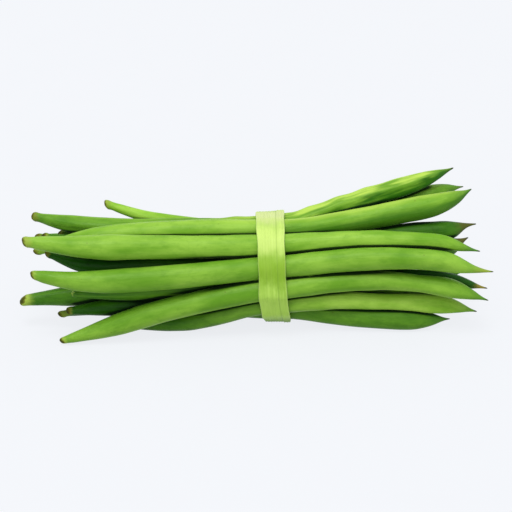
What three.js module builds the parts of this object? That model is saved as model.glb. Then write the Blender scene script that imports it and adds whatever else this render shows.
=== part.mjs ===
// A bundle of green beans: whole pods, each with its stalk end and its beak, held at the middle
// by one strip of leaf wound around them. Millimetres, +Z up, the bundle lying on z = 0.
// The stalks point to -X and the beaks to +X.

import * as THREE from 'three';

// ---------------------------------------------------------------- driving dimensions

const SIDES = 12; // corners of a pod's section
const BODY_STEPS = 12; // lengths of skin between the shoulder and the beak
const SHOULDER_RINGS = [0.15, 0.4, 0.7, 1]; // places of the rings, as shares of the shoulder
const BEAK_RINGS = [1, 0.7, 0.45, 0.25, 0.1, 0]; // and as shares of the beak still to come

const STALK = {
  rim: 1.2, // distance from the cut to the rim of the stalk's collar
  neck: 1.8, // distance from the cut to the place where the pod starts to fill out
  cutShare: 0.62, // thickness of the cut as a share of the rim's
  ease: 1.15, // how gently it starts to fill out: 1 is at once
};
const GIRTH_AT = {
  stalk: 0.2, // a pod has its stalk girth up to this share of its length,
  tieStart: 0.55, // its tied girth between these two,
  tieEnd: 0.58,
  beak: 0.88, // and its beak girth from here on
};
const TAIL = {
  half: 0.35, // half thickness of the thread at the tip of the beak
  growth: 0.12, // how much it gains for each millimetre from the tip
};

const SETTLING = {
  station: 2.5, // spacing along X of the stations at which the pods are settled
  endGap: 0.4, // an end nearer than this to its last station is left out
  lieSteps: 400, // points at which a lie is read
  clearance: 0.3, // gap kept between neighbouring skins
  rounds: 900, // passes of the settling loop
  release: 700, // pass after which the pods no longer seek their own lie
  pull: 0.06, // share of the way back to its lie that a firm pod goes in one pass
  stiffness: 0.5, // share of a displacement that comes from the stations beside it
  least: 0.001, // distance that keeps two middles in one place from dividing by zero
};

const TIE = {
  x: 6, // middle of the strip along the bundle
  y: 0,
  z: 19, // height of the middle of the tied girth
  innerRadius: 17.9, // the tied girth inside the strip
  width: 9.6,
  thickness: 0.8,
  footing: 1.7, // height of the tied pods over the table
  lean: 1.5, // how far the foot of the strip stands towards the beaks, and its top away
  seam: 310, // where the strip starts, in degrees from +Y towards +Z
  overlap: 45, // how far its end laps over its start, in degrees
  steps: 44, // straight lengths in one turn
  climb: 3, // lengths over which the end climbs onto the start
};

// Each pod: girth is its thickness towards the stalk, under the tie and towards the beak, and
// collar that of the stalk's collar. lie is the line of its middle from cut to tip as [x, y, z].
// shoulder, point and tail are the lengths over which it fills out, closes and ends in a thread;
// hook is 1 where it closes bluntly and 2 where it hollows towards the thread. beak is the side
// its straight seam is on, in degrees from +Y towards +Z, and firm how well it keeps its lie.
const BEANS = [
  // The front of the bundle, from the top down.
  {
    name: 'bean_01', girth: [7.4, 7.2, 8], collar: 2.6, shoulder: 28, point: 18, tail: 0, hook: 1,
    beak: 60, firm: 1,
    lie: [[-75, -3, 26], [-58, -2.5, 31], [-20, -0.5, 33], [5, 1, 34], [30, 3, 35], [54, 5.5, 38.5],
      [73, 7, 41]],
  },
  {
    name: 'bean_02', girth: [8.2, 7.1, 5.4], collar: 3.8, shoulder: 28, point: 13, tail: 2, hook: 2,
    beak: 240, firm: 1,
    lie: [[-78, -9.5, 34.5], [-58, -10, 33], [-20, -8.5, 32], [5, -7.5, 32], [44, -7, 33.4], [75, -8, 32.5]],
  },
  {
    name: 'bean_03', girth: [8.2, 7.3, 7.6], collar: 3.8, shoulder: 32, point: 14, tail: 4.5, hook: 1.8,
    beak: 240, firm: 1,
    lie: [[-75, -17, 26], [-58, -17.5, 23.5], [-20, -15, 24.5], [5, -13, 26.2], [40, -12.5, 29.8],
      [62, -13.5, 29], [79, -14, 29.5]],
  },
  {
    name: 'bean_04', girth: [7.8, 7.2, 5.2], collar: 2.8, shoulder: 28, point: 18, tail: 1, hook: 1.4,
    beak: 240, firm: 1,
    lie: [[-66, -19.5, 1.5], [-51, -17, 5], [-30, -15.5, 11.5], [5, -14.5, 17.5], [24, -13, 20],
      [45, -12, 20], [78, -14, 17]],
  },
  {
    name: 'bean_05', girth: [6.4, 5.8, 4.6], collar: 2.6, shoulder: 26, point: 15, tail: 1, hook: 1.6,
    beak: 240, firm: 1,
    lie: [[-50, -8, 2], [-30, -8.5, 3.5], [-8, -12, 8.5], [8, -13, 11], [24, -11.5, 12.5],
      [45, -9.5, 11], [75, -9, 9]],
  },
  {
    name: 'bean_06', girth: [6.4, 6.6, 7.2], collar: 2.8, shoulder: 20, point: 16, tail: 1, hook: 1.2,
    beak: 70, firm: 0.7,
    lie: [[-64, -12, 9.5], [-45, -8.5, 9], [-20, -8, 8], [5, -9, 7], [34, -9.5, 4.5], [55, -9.5, 3],
      [66, -10.5, 0.5]],
  },
  // The top of the bundle, behind its front.
  {
    name: 'bean_07', girth: [6.2, 6.4, 5.6], collar: 3, shoulder: 18, point: 20, tail: 0, hook: 1.6,
    beak: 60, firm: 1,
    lie: [[-76.5, 9, 33.5], [-66, 7, 32], [-53, 4.5, 31.5], [-26, 5.5, 31], [5, 7.5, 32.5],
      [34, 11, 39.5], [55, 15.5, 43.5], [67.5, 17, 45.5]],
  },
  {
    name: 'bean_08', girth: [5.6, 6.6, 6.2], collar: 2.8, shoulder: 36, point: 14, tail: 1, hook: 1.3,
    beak: 0, firm: 0.7,
    lie: [[-52, 14, 36], [-34, 11.5, 31], [5, 13, 25.5], [26, 14, 29], [50, 16.5, 36], [64, 17.5, 39],
      [71.5, 18, 39]],
  },
  // The inner pods, whose ends show between the others.
  {
    name: 'bean_09', girth: [6.8, 6.8, 6.6], collar: 2.8, shoulder: 20, point: 8, tail: 3.5, hook: 2.2,
    beak: 60, firm: 0.4,
    lie: [[-73, 4, 30], [-55, 1.5, 27.5], [-30, -0.5, 27], [5, -2, 26.5], [32, 0.5, 28], [54, 4, 30],
      [75, 5, 29]],
  },
  {
    name: 'bean_10', girth: [6.8, 7.2, 6.8], collar: 2.4, shoulder: 20, point: 14, tail: 1.5, hook: 1.5,
    beak: 240, firm: 0.4,
    lie: [[-68, 9, 27.5], [-30, 6, 25.5], [5, 5.5, 24], [32, 7, 26], [69, 9.5, 26]],
  },
  {
    name: 'bean_11', girth: [6.6, 6.8, 6.6], collar: 2.2, shoulder: 26, point: 8, tail: 0.5, hook: 1.2,
    beak: 60, firm: 0.4,
    lie: [[-71, -6, 28], [-58, -8, 24], [-35, -5.5, 22.5], [5, -7, 21.5], [42, -2.5, 26], [72, 1, 27.5]],
  },
  {
    name: 'bean_12', girth: [6.6, 7, 5.6], collar: 2.8, shoulder: 20, point: 15, tail: 2, hook: 1.5,
    beak: 200, firm: 0.4,
    lie: [[-62, -13.5, 16], [-35, -11.5, 16], [5, -6, 14.5], [42, -7.5, 19], [78, -9.5, 18]],
  },
  {
    name: 'bean_13', girth: [7.4, 7, 6.8], collar: 3.9, shoulder: 34, point: 15, tail: 1.5, hook: 1.5,
    beak: 100, firm: 0.4,
    lie: [[-80, -9.5, 10], [-62, -8.5, 11.5], [-26, -3.5, 13.5], [5, 1, 12], [45, 1, 13], [66, 0, 14]],
  },
  {
    name: 'bean_14', girth: [6.8, 7, 6.8], collar: 2.4, shoulder: 22, point: 14, tail: 2, hook: 1.6,
    beak: 300, firm: 0.2,
    lie: [[-75, 5, 25.5], [-40, 1, 21], [5, 0, 19], [38, 1.5, 21], [62, 4, 22]],
  },
  {
    name: 'bean_15', girth: [7, 7, 6.8], collar: 3.2, shoulder: 22, point: 15, tail: 1.5, hook: 1.4,
    beak: 20, firm: 0.2,
    lie: [[-62, 12, 18], [-30, 9, 17], [5, 7, 16.5], [40, 10, 18], [72, 13, 20]],
  },
  // The back and the underside, on which the bundle lies.
  {
    name: 'bean_16', girth: [7.4, 7.2, 7], collar: 2.6, shoulder: 24, point: 16, tail: 2, hook: 1.6,
    beak: 30, firm: 0.3,
    lie: [[-77, 18, 20.5], [-40, 17, 17], [5, 14.5, 16.5], [40, 18, 18], [66, 23, 20]],
  },
  {
    name: 'bean_17', girth: [7, 7.2, 7.4], collar: 3.2, shoulder: 24, point: 16, tail: 1.5, hook: 1.3,
    beak: 60, firm: 0.3,
    lie: [[-68, 17, 2], [-48, 16, 4], [-20, 12, 8.5], [5, 11, 9.5], [30, 13, 7.5], [54, 16, 3.5],
      [73, 18, 2]],
  },
  {
    name: 'bean_18', girth: [7.2, 7.2, 6.8], collar: 3.4, shoulder: 24, point: 15, tail: 1.5, hook: 1.5,
    beak: 20, firm: 0.3,
    lie: [[-64, 7, 2], [-40, 5.5, 3.5], [5, 4.5, 5.5], [36, 5, 3.5], [64, 6, 2]],
  },
  {
    name: 'bean_19', girth: [6.6, 7.2, 6.6], collar: 2.2, shoulder: 26, point: 15, tail: 1.5, hook: 1.4,
    beak: 120, firm: 0.5,
    lie: [[-67.5, -8.5, 5], [-59, -7.5, 6.5], [-38, -4.5, 6.5], [5, -3, 5.5], [30, -2.5, 3.5], [58, -3, 2]],
  },
];

const GREENS = ['#7fb548', '#8cc152', '#74ad3c', '#6fa244', '#5f9140'];
const LEAF_GREEN = '#c3d68a';

// ---------------------------------------------------------------- small helpers

const clamp = (value, low, high) => Math.min(high, Math.max(low, value));
const mix = (from, to, share) => from + (to - from) * share;
const portion = (value, from, to) => clamp((value - from) / (to - from), 0, 1);
const swell = (share) => Math.sin((clamp(share, 0, 1) * Math.PI) / 2);
const direction = (degrees) => {
  const turn = THREE.MathUtils.degToRad(degrees);
  return { y: Math.cos(turn), z: Math.sin(turn) };
};

// ---------------------------------------------------------------- the shape of one pod

// Half the thickness of a pod at a distance from its stalk's cut.
function halfThickness(bean, fromCut, length) {
  const { girth, collar, shoulder, point, tail, hook } = bean;
  const share = fromCut / length;
  const body = share < GIRTH_AT.tieStart
    ? mix(girth[0], girth[1], portion(share, GIRTH_AT.stalk, GIRTH_AT.tieStart)) / 2
    : mix(girth[1], girth[2], portion(share, GIRTH_AT.tieEnd, GIRTH_AT.beak)) / 2;
  const rim = collar / 2;
  let half = mix(rim, body, swell((fromCut - STALK.neck) / shoulder) ** STALK.ease);
  if (fromCut < STALK.rim) {
    half = mix(rim * STALK.cutShare, rim, swell(fromCut / STALK.rim));
  }
  const fromTip = length - fromCut;
  const thread = Math.min(TAIL.half + TAIL.growth * fromTip, half);
  return mix(thread, half, swell((fromTip - tail) / point) ** hook);
}

// The distances from the cut at which a pod has a ring of corners.
function ringPlaces(bean, length) {
  const stalk = [0, STALK.rim / 2, STALK.rim, STALK.neck];
  const shoulder = SHOULDER_RINGS.map((share) => STALK.neck + bean.shoulder * share);
  const beak = BEAK_RINGS.map((share) => length - bean.tail - bean.point * share);
  const bodyStart = shoulder[shoulder.length - 1];
  const bodyEnd = beak[0];
  const body = [];
  for (let step = 1; step < BODY_STEPS; step += 1) {
    body.push(mix(bodyStart, bodyEnd, step / BODY_STEPS));
  }
  return [...stalk, ...shoulder, ...body, ...beak, length];
}

// ---------------------------------------------------------------- settling the pods

// Turns a pod's lie into stations at whole steps along X, each with the pod's half thickness.
function layOut(bean) {
  const corners = bean.lie.map((point) => new THREE.Vector3(...point));
  const curve = new THREE.CatmullRomCurve3(corners, false, 'centripetal');
  const points = curve.getSpacedPoints(SETTLING.lieSteps);
  const length = curve.getLength();
  const first = Math.ceil(bean.lie[0][0] / SETTLING.station);
  const last = Math.floor(bean.lie[bean.lie.length - 1][0] / SETTLING.station);
  const stations = [];
  let at = 0;
  for (let index = first; index <= last; index += 1) {
    const x = index * SETTLING.station;
    while (at < points.length - 2 && points[at + 1].x < x) {
      at += 1;
    }
    const share = clamp((x - points[at].x) / (points[at + 1].x - points[at].x), 0, 1);
    const rest = points[at].clone().lerp(points[at + 1], share);
    const fromCut = ((at + share) / (points.length - 1)) * length;
    const half = halfThickness(bean, fromCut, length);
    stations.push({ x, y: rest.y, z: rest.z, restY: rest.y, restZ: rest.z, half, slopeY: 0, slopeZ: 0 });
  }
  return { ...bean, first, last, stations, start: points[0], end: points[points.length - 1] };
}

// Measures how steeply a pod runs at each station.
function measureSlopes({ stations }) {
  stations.forEach((station, index) => {
    const before = stations[Math.max(index - 1, 0)];
    const after = stations[Math.min(index + 1, stations.length - 1)];
    const run = after.x - before.x;
    station.slopeY = (after.y - before.y) / run;
    station.slopeZ = (after.z - before.z) / run;
  });
}

// Pulls a pod back towards its own lie.
function seekLie({ stations, firm }) {
  const pull = SETTLING.pull * firm;
  stations.forEach((station) => {
    station.y += (station.restY - station.y) * pull;
    station.z += (station.restZ - station.z) * pull;
  });
}

// Spreads a pod's displacement along its length, as its stiffness does.
function stiffen({ stations }) {
  const shifts = stations.map(({ y, z, restY, restZ }) => ({ y: y - restY, z: z - restZ }));
  stations.forEach((station, index) => {
    const before = shifts[Math.max(index - 1, 0)];
    const after = shifts[Math.min(index + 1, shifts.length - 1)];
    const besideY = (before.y + after.y) / 2;
    const besideZ = (before.z + after.z) / 2;
    station.y = station.restY + mix(shifts[index].y, besideY, SETTLING.stiffness);
    station.z = station.restZ + mix(shifts[index].z, besideZ, SETTLING.stiffness);
  });
}

// Half the thickness of a pod in a direction, in the upright plane through a station: a pod that
// climbs or dips there is cut on the slant.
function halfTowards({ half, slopeY, slopeZ }, towards) {
  return half * Math.hypot(1, slopeY * towards.y + slopeZ * towards.z);
}

// Pushes two pods apart wherever their skins come closer than the clearance.
function part(one, other) {
  const first = Math.max(one.first, other.first);
  const last = Math.min(one.last, other.last);
  const yielding = other.firm / (one.firm + other.firm);
  for (let index = first; index <= last; index += 1) {
    const a = one.stations[index - one.first];
    const b = other.stations[index - other.first];
    const gapY = b.y - a.y;
    const gapZ = b.z - a.z;
    const apart = Math.max(Math.hypot(gapY, gapZ), SETTLING.least);
    const towards = { y: gapY / apart, z: gapZ / apart };
    const touching = halfTowards(a, towards) + halfTowards(b, towards);
    const missing = touching + SETTLING.clearance - apart;
    if (missing > 0) {
      const shareY = towards.y * missing;
      const shareZ = towards.z * missing;
      a.y -= shareY * yielding;
      a.z -= shareZ * yielding;
      b.y += shareY * (1 - yielding);
      b.z += shareZ * (1 - yielding);
    }
  }
}

// Draws a pod into the tied girth under the strip, and keeps it above the table.
function confine({ stations }) {
  stations.forEach((station) => {
    const tied = Math.abs(station.x - TIE.x) < TIE.width / 2 + SETTLING.station;
    if (tied) {
      const offY = station.y - TIE.y;
      const offZ = station.z - TIE.z;
      const off = Math.hypot(offY, offZ);
      const most = TIE.innerRadius - SETTLING.clearance - station.half;
      if (off > most) {
        station.y = TIE.y + (offY * most) / off;
        station.z = TIE.z + (offZ * most) / off;
      }
    }
    const floor = tied ? TIE.footing : 0;
    station.z = Math.max(station.z, station.half + floor);
  });
}

function settle(beans) {
  for (let round = 0; round < SETTLING.rounds; round += 1) {
    if (round < SETTLING.release) {
      beans.forEach(seekLie);
    }
    beans.forEach(stiffen);
    beans.forEach(measureSlopes);
    beans.forEach((one, index) => {
      beans.slice(index + 1).forEach((other) => part(one, other));
    });
    beans.forEach(confine);
  }
}

// ---------------------------------------------------------------- geometry

// Makes a closed geometry from rings of corners, with a flat end on the first and last.
function loft(rings) {
  const size = rings[0].length;
  const points = rings.flat();
  const middle = (ring) => (
    ring.reduce((sum, point) => sum.add(point), new THREE.Vector3()).divideScalar(size)
  );
  const firstMiddle = points.push(middle(rings[0])) - 1;
  const lastMiddle = points.push(middle(rings[rings.length - 1])) - 1;
  const lastStart = (rings.length - 1) * size;
  const faces = [];
  for (let corner = 0; corner < size; corner += 1) {
    const next = (corner + 1) % size;
    for (let ring = 0; ring < rings.length - 1; ring += 1) {
      const here = ring * size;
      const there = here + size;
      faces.push(here + corner, there + next, there + corner);
      faces.push(here + corner, here + next, there + next);
    }
    faces.push(firstMiddle, next, corner);
    faces.push(lastMiddle, lastStart + corner, lastStart + next);
  }
  const geometry = new THREE.BufferGeometry();
  geometry.setFromPoints(points);
  geometry.setIndex(faces);
  geometry.computeVertexNormals();
  return geometry;
}

// The line through a settled pod's middle, from its cut to its tip.
function settledCurve({ stations, start, end }) {
  const first = stations[0];
  const last = stations[stations.length - 1];
  const points = stations.map(({ x, y, z }) => new THREE.Vector3(x, y, z));
  const startShift = new THREE.Vector3(0, first.y - first.restY, first.z - first.restZ);
  const endShift = new THREE.Vector3(0, last.y - last.restY, last.z - last.restZ);
  if (first.x - start.x > SETTLING.endGap) {
    points.unshift(start.clone().add(startShift));
  }
  if (end.x - last.x > SETTLING.endGap) {
    points.push(end.clone().add(endShift));
  }
  return new THREE.CatmullRomCurve3(points, false, 'centripetal');
}

function beanGeometry(bean) {
  const curve = settledCurve(bean);
  const length = curve.getLength();
  const towards = direction(bean.beak);
  const fullHalf = halfThickness(bean, length - bean.point - bean.tail, length);
  const rings = ringPlaces(bean, length).map((fromCut) => {
    const share = fromCut / length;
    const half = halfThickness(bean, fromCut, length);
    const middle = curve.getPointAt(share);
    if (length - fromCut < bean.point + bean.tail) {
      middle.y += towards.y * (fullHalf - half);
      middle.z += towards.z * (fullHalf - half);
    }
    const tangent = curve.getTangentAt(share);
    const side = new THREE.Vector3(0, 0, 1).cross(tangent).normalize();
    const above = tangent.clone().cross(side);
    const ring = [];
    for (let corner = 0; corner < SIDES; corner += 1) {
      const turn = ((corner + 0.5) / SIDES) * 2 * Math.PI;
      ring.push(middle.clone().addScaledVector(side, half * Math.cos(turn))
        .addScaledVector(above, half * Math.sin(turn)));
    }
    return ring;
  });
  return loft(rings);
}

// How far from the tie's middle the tied pods reach in a direction.
function reach(beans, towards) {
  const spots = beans.flatMap(({ stations }) => stations)
    .filter(({ x }) => Math.abs(x - TIE.x) < TIE.width / 2 + TIE.lean + SETTLING.station);
  return Math.max(...spots.map((spot) => (
    (spot.y - TIE.y) * towards.y + (spot.z - TIE.z) * towards.z + halfTowards(spot, towards)
  )));
}

// The taut outline around the tied pods: the corners between its supporting lines.
function girthOutline(beans, steps) {
  const step = 360 / steps;
  const spread = THREE.MathUtils.degToRad(step);
  const outline = [];
  for (let index = 0; index < steps; index += 1) {
    const one = reach(beans, direction(index * step));
    const other = reach(beans, direction((index + 1) * step));
    const along = (other - one * Math.cos(spread)) / Math.sin(spread);
    const turned = direction(index * step);
    outline.push({
      y: TIE.y + turned.y * one - turned.z * along,
      z: TIE.z + turned.z * one + turned.y * along,
    });
  }
  return outline;
}

function tieGeometry(beans) {
  const outline = girthOutline(beans, TIE.steps);
  const startIndex = Math.round((TIE.seam / 360) * TIE.steps);
  const lapSteps = Math.round((TIE.overlap / 360) * TIE.steps);
  const layer = TIE.thickness + SETTLING.clearance;
  const rings = [];
  for (let index = 0; index <= TIE.steps + lapSteps; index += 1) {
    const { y, z } = outline[(startIndex + index) % TIE.steps];
    const away = Math.hypot(y - TIE.y, z - TIE.z);
    const outward = { y: (y - TIE.y) / away, z: (z - TIE.z) / away };
    const lift = SETTLING.clearance + layer * portion(index, TIE.steps - TIE.climb, TIE.steps);
    const middleX = TIE.x - (TIE.lean * (z - TIE.z)) / TIE.innerRadius;
    const corner = (along, out) => new THREE.Vector3(
      middleX + along,
      y + outward.y * (lift + out),
      z + outward.z * (lift + out),
    );
    const half = TIE.width / 2;
    rings.push([
      corner(-half, 0),
      corner(half, 0),
      corner(half, TIE.thickness),
      corner(-half, TIE.thickness),
    ]);
  }
  return loft(rings);
}

// ---------------------------------------------------------------- the bundle

const beans = BEANS.map(layOut);
settle(beans);

const bundle = new THREE.Group();
beans.forEach((bean, index) => {
  const color = GREENS[index % GREENS.length];
  const skin = new THREE.MeshStandardMaterial({ color, roughness: 0.5, metalness: 0 });
  const mesh = new THREE.Mesh(beanGeometry(bean), skin);
  mesh.name = bean.name;
  bundle.add(mesh);
});

const leaf = new THREE.MeshStandardMaterial({ color: LEAF_GREEN, roughness: 0.6, metalness: 0 });
const tie = new THREE.Mesh(tieGeometry(beans), leaf);
tie.name = 'leaf_tie';
bundle.add(tie);

// Stands the bundle on z = 0 with the middle of its box over the origin.
const box = new THREE.Box3().setFromObject(bundle);
const middle = box.getCenter(new THREE.Vector3());
bundle.children.forEach((mesh) => mesh.geometry.translate(-middle.x, -middle.y, -box.min.z));

export default bundle;
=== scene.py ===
import math

import bpy
import numpy as np
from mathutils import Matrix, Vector
from mathutils.bvhtree import BVHTree


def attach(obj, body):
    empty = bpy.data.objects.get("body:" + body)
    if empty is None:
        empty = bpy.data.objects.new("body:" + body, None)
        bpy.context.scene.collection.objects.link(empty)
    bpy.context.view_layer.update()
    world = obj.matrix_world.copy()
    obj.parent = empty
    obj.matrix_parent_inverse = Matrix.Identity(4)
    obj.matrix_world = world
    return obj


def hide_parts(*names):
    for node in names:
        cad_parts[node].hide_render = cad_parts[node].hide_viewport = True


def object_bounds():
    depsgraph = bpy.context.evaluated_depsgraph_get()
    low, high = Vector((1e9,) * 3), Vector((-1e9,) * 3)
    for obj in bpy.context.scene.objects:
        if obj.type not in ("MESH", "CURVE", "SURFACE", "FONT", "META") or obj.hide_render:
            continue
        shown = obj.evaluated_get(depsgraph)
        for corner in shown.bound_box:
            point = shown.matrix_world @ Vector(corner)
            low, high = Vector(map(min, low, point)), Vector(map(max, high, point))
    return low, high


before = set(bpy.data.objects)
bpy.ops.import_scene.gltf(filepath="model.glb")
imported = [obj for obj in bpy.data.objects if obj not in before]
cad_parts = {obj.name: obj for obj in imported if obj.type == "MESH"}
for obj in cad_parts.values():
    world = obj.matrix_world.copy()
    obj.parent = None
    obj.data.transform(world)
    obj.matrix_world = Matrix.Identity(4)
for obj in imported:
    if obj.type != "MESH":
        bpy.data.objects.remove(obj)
cad_low, cad_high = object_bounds()

# The looks of a tied bundle of green beans. Every pod is lofted afresh around the middle line and
# the girth of its CAD solid, and the leaf strip is drawn taut over the new pods.
# Lengths are in millimetres until a mesh is written. A side of a pod or of the bundle is an angle
# in degrees from +Y towards +Z. Places along a pod run from the cut of its stalk to its tip.

MM = 0.001

# ---------------------------------------------------------------- measuring the CAD's pods

CAD_SECTION = 3.0  # area of the CAD's twelve-sided section over the square of its half girth
CAD_END_DEPTH = 0.08  # how far the corners of one flat end may differ in depth
ROUGH_CUTS = 60  # cuts across X that find a rough middle line,
ROUGH_FROM_LOW = 1.5  # and how far from the solid's ends the first and the last are
ROUGH_FROM_HIGH = 1.0
TRACE_STEP = 1.0  # spacing of the square cuts that then measure it
LINE_BLUR = 2.2  # how far the measured middle line and girth are evened out
GIRTH_BLUR = 1.0
LEAST_GIRTH = 0.3

# ---------------------------------------------------------------- the shape of a pod

SIDES = 48  # corners of a pod's ring
BODY_STEP = 0.75  # spacing of the rings along the body,
END_STEP = 0.22  # and along the stalk and the beak,
STALK_LENGTH = 6.0  # which are this long
BEAK_LENGTH = 5.0
LOWEST = 0.02  # height over the floor below which a skin is pressed flat

WANDER = 0.12  # how far the middle line strays from the CAD's
WANDER_LENGTHS = (60, 70)  # length of its waves in Y and in Z
GIRTH_WAVE = 45  # length of the waves in the girth
WAVES_PEAK = 1.6  # about as high as waves reach together, before they are scaled to 1

# Where along a pod each of these sets in, from nothing to all of it: distances from the cut, but
# for BODY_TO from the tip, and shares of the length for the last two.
WANDER_FROM = (5, 20)
WAVER_FROM = (4, 15)
BODY_FROM, BODY_TO = (3, 14), (1, 10)
FULLER_FROM = (0.45, 0.65)
BUMPS_FROM = (0.30, 0.55)

OVAL = 0.035  # how much deeper than round a pod is from seam to seam
SEAM_RIDGE = 0.016  # height of the cord along the seam, as a share of the half girth
SEAM_GROOVE = 0.022  # depth of the channels beside it
BACK_GROOVE = 0.016  # depth of the line opposite
RIDGE_WIDTH, GROOVE_WIDTH, BACK_WIDTH = 0.10, 0.30, 0.14  # their widths, in radians

SEED_SPACING = 9.5
SEED_UNEVEN = (0.85, 1.2)  # the least and the most of it that one spacing is
FIRST_SEED = (20, 24)  # the least and the most that the first seed is from the cut,
LAST_SEED = 15  # and the least that the last is from the tip
SEED_SIZES = (0.3, 1.0)
SEED_LENGTHS = (3.0, 4.0)
FLANK_FOCUS = 1.5  # the higher it is, the closer to the middle of the flanks the seeds swell them
RIDGES_ROUND = 5
RIDGE_SWAY = 0.8  # how far the ridges sway to either side, in radians of their own wave,
RIDGE_DRIFT = 14  # and the length in which the sway goes on by a radian

KNOB_AT, KNOB_WIDTH = 1.1, 1.0  # the swelling of the stalk's end,
NECK_AT, NECK_WIDTH = 3.4, 1.6  # and the neck beyond it,
NECK_DEPTH = 0.5  # which is this share of the swelling deep
NIP_LENGTH = 5.0  # length over which the stalk's end is thinner than the CAD's
RIM_LENGTH = 1.7  # length over which the cut rounds into its rim
RIM_DEPTH = 0.62  # how much narrower the cut is than the rim
RAGGED_LENGTH = 0.7  # length over which the cut's edge is ragged
SLANT_LENGTH = 2.4  # length over which the rings lean with the cut
SLANT_SHIFT = 0.4  # how far in the cut is moved, as a share of the half girth times the slant
BEAK_TAPER = 0.58  # how much thinner than the CAD's the beak is at the first distance
BEAK_TAPER_OVER = (-2.0, 6.0)  # from the tip, the first lying past it
POINT_LENGTH = 0.5  # length over which the tip closes,
POINT_CLOSING = 0.9  # and the share of its section that is gone at its end

PATTERN_SHIFT = 300.0  # distance from one pod's skin pattern to the next one's

# slot: the record's material. tone_and_shade: from 0 bright to 1 dark, at the stalk and at the
# beak, and a little beyond for the palest and the darkest; it is partly a pod's own green and
# partly
# painted shade on pods deep in the bundle, and painted light on some pods that lie in shade. seam:
# side of the seam. twist: turn of the seam towards the stalk. sun_and_shade: strength of a painted
# lit yellow along the seam's side and of painted shade in deep green on the side away from it.
# seeds, ridges: how far they stand out, as shares of the half girth. waver: uneven girth.
# bumps: how much the seeds swell the whole girth. fuller: how much thicker the beak's half is.
# lifts: distance from the tip, half length, and height that the middle line rises there.
# bulges: distance from the tip, half length, side, and share of the half girth added there.
# knob: swelling of the stalk's end, and nip how much thinner it is than the CAD's. cut: side that
# the cut faces, and slant its lean in degrees. band: length of the stalk end's own colour, and
# rust how brown it is. scar: how brown the cut is.
# beak: colour of the dry beak, dry its length, and wear its strength.
PLAIN = dict(
    sun_and_shade=0.0,
    seeds=0.014, ridges=0.0, waver=0.018, fuller=0.0, bumps=0.012, lifts=(), bulges=(),
    nip=0.0, slant=26, rust=0.9, scar=1.0,
    beak="bark", wear=0.4,
)

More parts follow.
